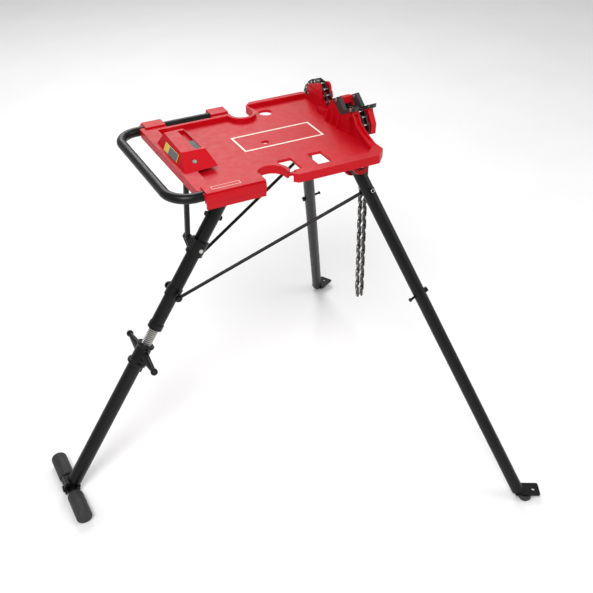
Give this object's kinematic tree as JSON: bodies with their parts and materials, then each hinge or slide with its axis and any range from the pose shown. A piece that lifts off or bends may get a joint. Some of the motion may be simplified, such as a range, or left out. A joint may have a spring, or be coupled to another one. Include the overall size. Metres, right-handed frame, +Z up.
{
  "type": "chain pipe vise stand",
  "caption": "Folding tripod stand with a chain pipe vise, tool tray, carrying handle, tie rods and a rear leg levelled by a screw and wing nut.",
  "frame": {"origin": "on the floor, under the middle of the bounding box, between the feet", "axes": "+Z up; +X from the carrying handle and rear leg towards the vise; +Y towards the far side of the tray"},
  "size_m": [1.0767, 1.1452, 0.927],
  "materials": {
    "red_powder_coat": "semi-gloss",
    "black_powder_coat": "satin",
    "zinc_steel": "satin",
    "jaw_steel": "satin",
    "chain_steel": "satin",
    "pin_steel": "satin",
    "rest_rubber": "matte",
    "black_rubber": "matte",
    "moulded_plastic": "matte",
    "label_plate": "semi-gloss"
  },
  "bodies": {
    "stand_top": {"tray_casting": "red_powder_coat", "leg_mounting_ears": "red_powder_coat", "pipe_rest_block": "red_powder_coat", "pipe_rest_rubber": "rest_rubber", "pipe_rest_screw": "zinc_steel", "blank_label_plate": "label_plate", "v_jaw_inner": "jaw_steel", "v_jaw_outer": "jaw_steel", "vise_base": "red_powder_coat", "v_jaw_screws": "zinc_steel", "chain_seat_links": "chain_steel", "chain_seat_pins": "pin_steel", "tension_stirrup": "black_powder_coat", "carry_handle_tube": "black_powder_coat", "handle_straps": "zinc_steel", "rear_pivot_bolt": "zinc_steel", "front_pivot_bolt_right": "black_powder_coat", "front_pivot_bolt_left": "black_powder_coat", "brace_bracket": "black_powder_coat", "brace_pin": "black_powder_coat"},
    "tension_screw": {"tension_screw": "zinc_steel"},
    "tension_knob": {"tension_knob": "jaw_steel"},
    "chain_upper": {"chain_tail_upper_links": "chain_steel", "chain_tail_upper_pins": "pin_steel"},
    "chain_middle": {"chain_tail_middle_links": "chain_steel", "chain_tail_middle_pins": "pin_steel"},
    "chain_lower": {"chain_tail_lower_links": "chain_steel", "chain_tail_lower_pins": "pin_steel"},
    "front_leg_right": {"front_leg_tube_right": "black_powder_coat", "front_leg_knuckle_right": "moulded_plastic", "tie_rod_bolt_right": "black_powder_coat", "strap_hook_pin_right": "black_powder_coat", "front_foot_plate_right": "black_powder_coat", "front_foot_pad_right": "black_rubber"},
    "tie_rod_right": {"tie_rod_right": "black_powder_coat"},
    "front_leg_left": {"front_leg_tube_left": "black_powder_coat", "front_leg_knuckle_left": "moulded_plastic", "tie_rod_bolt_left": "black_powder_coat", "strap_hook_pin_left": "black_powder_coat", "front_foot_plate_left": "black_powder_coat", "front_foot_pad_left": "black_rubber"},
    "tie_rod_left": {"tie_rod_left": "black_powder_coat"},
    "rear_leg": {"rear_leg_upper_tube": "black_powder_coat", "rear_leg_knuckle": "moulded_plastic", "rear_tube_rivets": "black_powder_coat", "rear_tube_end_ring": "black_powder_coat", "leveling_screw": "zinc_steel", "tie_rod_ear_band": "black_powder_coat", "tie_rod_ear_bolt": "black_powder_coat"},
    "brace_collar": {"brace_collar": "black_powder_coat", "brace_collar_bolt": "zinc_steel"},
    "lock_brace": {"lock_brace": "black_powder_coat"},
    "lower_leg": {"rear_leg_lower_tube": "black_powder_coat", "lower_tube_bush": "moulded_plastic", "lock_key_tab": "black_powder_coat", "rear_foot_yoke": "black_powder_coat", "rear_foot_bolt": "black_powder_coat"},
    "wing_nut": {"wing_nut": "black_powder_coat"},
    "rear_foot": {"rear_foot_crossbar": "black_powder_coat", "rear_foot_grips": "black_rubber"}
  },
  "joints": [
    {"name": "rear_leg_fold", "type": "hinge", "parent": "stand_top", "child": "rear_leg", "pos_m": [-0.02911, 0, 0.776], "axis": [0, 1, 0], "range_deg": [0, 57.2]},
    {"name": "front_leg_right_fold", "type": "hinge", "parent": "stand_top", "child": "front_leg_right", "pos_m": [0.22039, -0.1262, 0.804], "axis": [0, 0.8877, -0.4605], "range_deg": [0, 106.45]},
    {"name": "tie_rod_right_swing", "type": "hinge", "parent": "rear_leg", "child": "tie_rod_right", "pos_m": [-0.19649, -0.0316, 0.516], "axis": [-0.2053, -0.9777, -0.0445], "range_deg": [0, 32.01]},
    {"name": "front_leg_left_fold", "type": "hinge", "parent": "stand_top", "child": "front_leg_left", "pos_m": [0.22039, 0.1262, 0.804], "axis": [0, 0.8877, 0.4605], "range_deg": [0, 106.45]},
    {"name": "tie_rod_left_swing", "type": "hinge", "parent": "rear_leg", "child": "tie_rod_left", "pos_m": [-0.19649, 0.0316, 0.516], "axis": [0.2053, -0.9777, 0.0445], "range_deg": [0, 32.01]},
    {"name": "brace_swing", "type": "hinge", "parent": "stand_top", "child": "lock_brace", "pos_m": [-0.14322, 0, 0.8], "axis": [0, 1, 0], "range_deg": [0, 91.75]},
    {"name": "collar_slide", "type": "slide", "parent": "rear_leg", "child": "brace_collar", "axis": [-0.5413, 0, -0.8408], "range_m": [0, 0.0921]},
    {"name": "lower_leg_slide", "type": "slide", "parent": "rear_leg", "child": "lower_leg", "axis": [-0.5413, 0, -0.8408], "range_m": [-0.0301, 0.1101]},
    {"name": "wing_nut_spin", "type": "hinge", "parent": "lower_leg", "child": "wing_nut", "pos_m": [-0.26729, 0, 0.40604], "axis": [0.5413, 0, 0.8408], "range_deg": [-2160, 7920]},
    {"name": "rear_foot_rock", "type": "hinge", "parent": "lower_leg", "child": "rear_foot", "pos_m": [-0.51581, 0, 0.02], "axis": [1, 0, 0], "range_deg": [-9.5, 9.5]},
    {"name": "chain_upper_swing", "type": "hinge", "parent": "stand_top", "child": "chain_upper", "pos_m": [0.26939, -0.082, 0.822], "axis": [1, 0, 0], "range_deg": [-2, 30]},
    {"name": "chain_middle_swing", "type": "hinge", "parent": "chain_upper", "child": "chain_middle", "pos_m": [0.26939, -0.082, 0.6974], "axis": [1, 0, 0], "range_deg": [-15, 25]},
    {"name": "chain_lower_swing", "type": "hinge", "parent": "chain_middle", "child": "chain_lower", "pos_m": [0.26939, -0.082, 0.555], "axis": [1, 0, 0], "range_deg": [-30, 30]},
    {"name": "tension_knob_spin", "type": "hinge", "parent": "stand_top", "child": "tension_knob", "pos_m": [0.26939, 0.2, 0.78], "axis": [0, 0, 1], "range_deg": [0, 1920]},
    {"name": "tension_screw_slide", "type": "slide", "parent": "stand_top", "child": "tension_screw", "axis": [0, 0, -1], "range_m": [0, 0.008]}
  ],
  "couplings": [
    {"joint": "front_leg_right_fold", "follows": "rear_leg_fold", "ratio": 1.8603},
    {"joint": "tie_rod_right_swing", "follows": "rear_leg_fold", "ratio": 0.55852},
    {"joint": "front_leg_left_fold", "follows": "rear_leg_fold", "ratio": 1.8603},
    {"joint": "tie_rod_left_swing", "follows": "rear_leg_fold", "ratio": 0.55852},
    {"joint": "brace_swing", "follows": "rear_leg_fold", "ratio": 1.6015},
    {"joint": "collar_slide", "follows": "rear_leg_fold", "m_per_rad": 0.092111},
    {"joint": "lower_leg_slide", "follows": "wing_nut_spin", "m_per_rad": 0.00079577},
    {"joint": "tension_screw_slide", "follows": "tension_knob_spin", "m_per_rad": 0.00023873}
  ]
}
